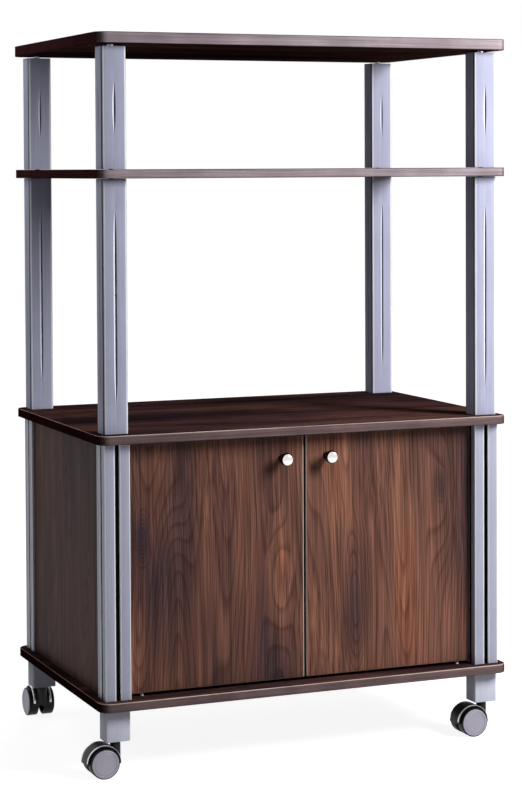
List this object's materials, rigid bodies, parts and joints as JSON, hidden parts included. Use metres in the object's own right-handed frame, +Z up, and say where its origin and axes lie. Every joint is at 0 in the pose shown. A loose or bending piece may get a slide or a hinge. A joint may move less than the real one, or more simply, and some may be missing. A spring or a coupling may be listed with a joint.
{
  "type": "microwave cart",
  "caption": "Walnut laminate microwave cart with silver corner posts, two-door cabinet, open bays and swivelling twin-wheel casters.",
  "frame": {"origin": "on the floor, at the centre of the footprint", "axes": "+Z up, front with the doors towards -Y, +X to the viewer's right"},
  "size_m": [0.63, 0.404, 0.975],
  "materials": {
    "walnut_laminate": "dark walnut printed laminate on particle board, semi-gloss",
    "silver_plastic": "silver-grey foil-wrapped moulding, satin",
    "grooved_aluminium": "extruded and anodised, satin",
    "zinc_steel": "bright zinc-plated steel",
    "chrome_plate": "polished chrome plate",
    "white_nylon": "white nylon, as moulded",
    "black_nylon": "black nylon, fine moulded grain",
    "grey_wheel_plastic": "grey moulded wheel with a satin cap"
  },
  "bodies": {
    "cart_body": {"bottom_board": "walnut_laminate", "worktop": "walnut_laminate", "middle_shelf": "walnut_laminate", "top_shelf": "walnut_laminate", "side_panel_left": "walnut_laminate", "side_panel_right": "walnut_laminate", "back_panel": "walnut_laminate", "short_post_front_left": "silver_plastic", "short_post_front_right": "silver_plastic", "short_post_rear_left": "silver_plastic", "short_post_rear_right": "silver_plastic", "long_post_front_left": "silver_plastic", "long_post_front_right": "silver_plastic", "long_post_rear_left": "silver_plastic", "long_post_rear_right": "silver_plastic", "cabinet_post_front_left": "grooved_aluminium", "cabinet_post_front_right": "grooved_aluminium", "cabinet_post_rear_left": "grooved_aluminium", "cabinet_post_rear_right": "grooved_aluminium", "leg_front_left": "silver_plastic", "leg_front_right": "silver_plastic", "leg_rear_left": "silver_plastic", "leg_rear_right": "silver_plastic", "tie_rod_front_left": "zinc_steel", "tie_rod_front_right": "zinc_steel", "tie_rod_rear_left": "zinc_steel", "tie_rod_rear_right": "zinc_steel", "pivot_pin_lower_left": "white_nylon", "pivot_pin_lower_right": "white_nylon", "pivot_pin_upper_left": "white_nylon", "pivot_pin_upper_right": "white_nylon", "magnetic_catch": "white_nylon", "caster_stem_front_left": "chrome_plate", "caster_stem_front_right": "chrome_plate", "caster_stem_rear_left": "chrome_plate", "caster_stem_rear_right": "chrome_plate"},
    "left_door": {"door_left": "walnut_laminate", "knob_left": "chrome_plate", "knob_screw_left": "zinc_steel", "strike_plate_left": "zinc_steel"},
    "right_door": {"door_right": "walnut_laminate", "knob_right": "chrome_plate", "knob_screw_right": "zinc_steel", "strike_plate_right": "zinc_steel"},
    "swivel_front_left": {"caster_hood_front_left": "black_nylon", "caster_axle_front_left": "zinc_steel"},
    "swivel_front_right": {"caster_hood_front_right": "black_nylon", "caster_axle_front_right": "zinc_steel"},
    "swivel_rear_left": {"caster_hood_rear_left": "black_nylon", "caster_axle_rear_left": "zinc_steel"},
    "swivel_rear_right": {"caster_hood_rear_right": "black_nylon", "caster_axle_rear_right": "zinc_steel"},
    "roller_a_front_left": {"wheel_a_front_left": "grey_wheel_plastic"},
    "roller_b_front_left": {"wheel_b_front_left": "grey_wheel_plastic"},
    "roller_a_front_right": {"wheel_a_front_right": "grey_wheel_plastic"},
    "roller_b_front_right": {"wheel_b_front_right": "grey_wheel_plastic"},
    "roller_a_rear_left": {"wheel_a_rear_left": "grey_wheel_plastic"},
    "roller_b_rear_left": {"wheel_b_rear_left": "grey_wheel_plastic"},
    "roller_a_rear_right": {"wheel_a_rear_right": "grey_wheel_plastic"},
    "roller_b_rear_right": {"wheel_b_rear_right": "grey_wheel_plastic"}
  },
  "joints": [
    {"name": "left_door_hinge", "type": "hinge", "parent": "cart_body", "child": "left_door", "pos_m": [-0.234, -0.17175, 0.268], "axis": [0, 0, -1], "range_deg": [0, 110]},
    {"name": "right_door_hinge", "type": "hinge", "parent": "cart_body", "child": "right_door", "pos_m": [0.234, -0.17175, 0.268], "axis": [0, 0, 1], "range_deg": [0, 110]},
    {"name": "swivel_turn_front_left", "type": "hinge", "parent": "cart_body", "child": "swivel_front_left", "pos_m": [-0.272, -0.173, 0.033], "axis": [0, 0, 1], "continuous": true},
    {"name": "swivel_turn_front_right", "type": "hinge", "parent": "cart_body", "child": "swivel_front_right", "pos_m": [0.272, -0.173, 0.033], "axis": [0, 0, 1], "continuous": true},
    {"name": "swivel_turn_rear_left", "type": "hinge", "parent": "cart_body", "child": "swivel_rear_left", "pos_m": [-0.272, 0.159, 0.033], "axis": [0, 0, 1], "continuous": true},
    {"name": "swivel_turn_rear_right", "type": "hinge", "parent": "cart_body", "child": "swivel_rear_right", "pos_m": [0.272, 0.159, 0.033], "axis": [0, 0, 1], "continuous": true},
    {"name": "roll_a_front_left", "type": "hinge", "parent": "swivel_front_left", "child": "roller_a_front_left", "pos_m": [-0.2915, -0.173, 0.02], "axis": [0, 1, 0], "continuous": true},
    {"name": "roll_b_front_left", "type": "hinge", "parent": "swivel_front_left", "child": "roller_b_front_left", "pos_m": [-0.2915, -0.173, 0.02], "axis": [0, 1, 0], "continuous": true},
    {"name": "roll_a_front_right", "type": "hinge", "parent": "swivel_front_right", "child": "roller_a_front_right", "pos_m": [0.2525, -0.173, 0.02], "axis": [0, 1, 0], "continuous": true},
    {"name": "roll_b_front_right", "type": "hinge", "parent": "swivel_front_right", "child": "roller_b_front_right", "pos_m": [0.2525, -0.173, 0.02], "axis": [0, 1, 0], "continuous": true},
    {"name": "roll_a_rear_left", "type": "hinge", "parent": "swivel_rear_left", "child": "roller_a_rear_left", "pos_m": [-0.272, 0.1785, 0.02], "axis": [1, 0, 0], "continuous": true},
    {"name": "roll_b_rear_left", "type": "hinge", "parent": "swivel_rear_left", "child": "roller_b_rear_left", "pos_m": [-0.272, 0.1785, 0.02], "axis": [1, 0, 0], "continuous": true},
    {"name": "roll_a_rear_right", "type": "hinge", "parent": "swivel_rear_right", "child": "roller_a_rear_right", "pos_m": [0.2915, 0.159, 0.02], "axis": [0, 1, 0], "continuous": true},
    {"name": "roll_b_rear_right", "type": "hinge", "parent": "swivel_rear_right", "child": "roller_b_rear_right", "pos_m": [0.2915, 0.159, 0.02], "axis": [0, 1, 0], "continuous": true}
  ]
}
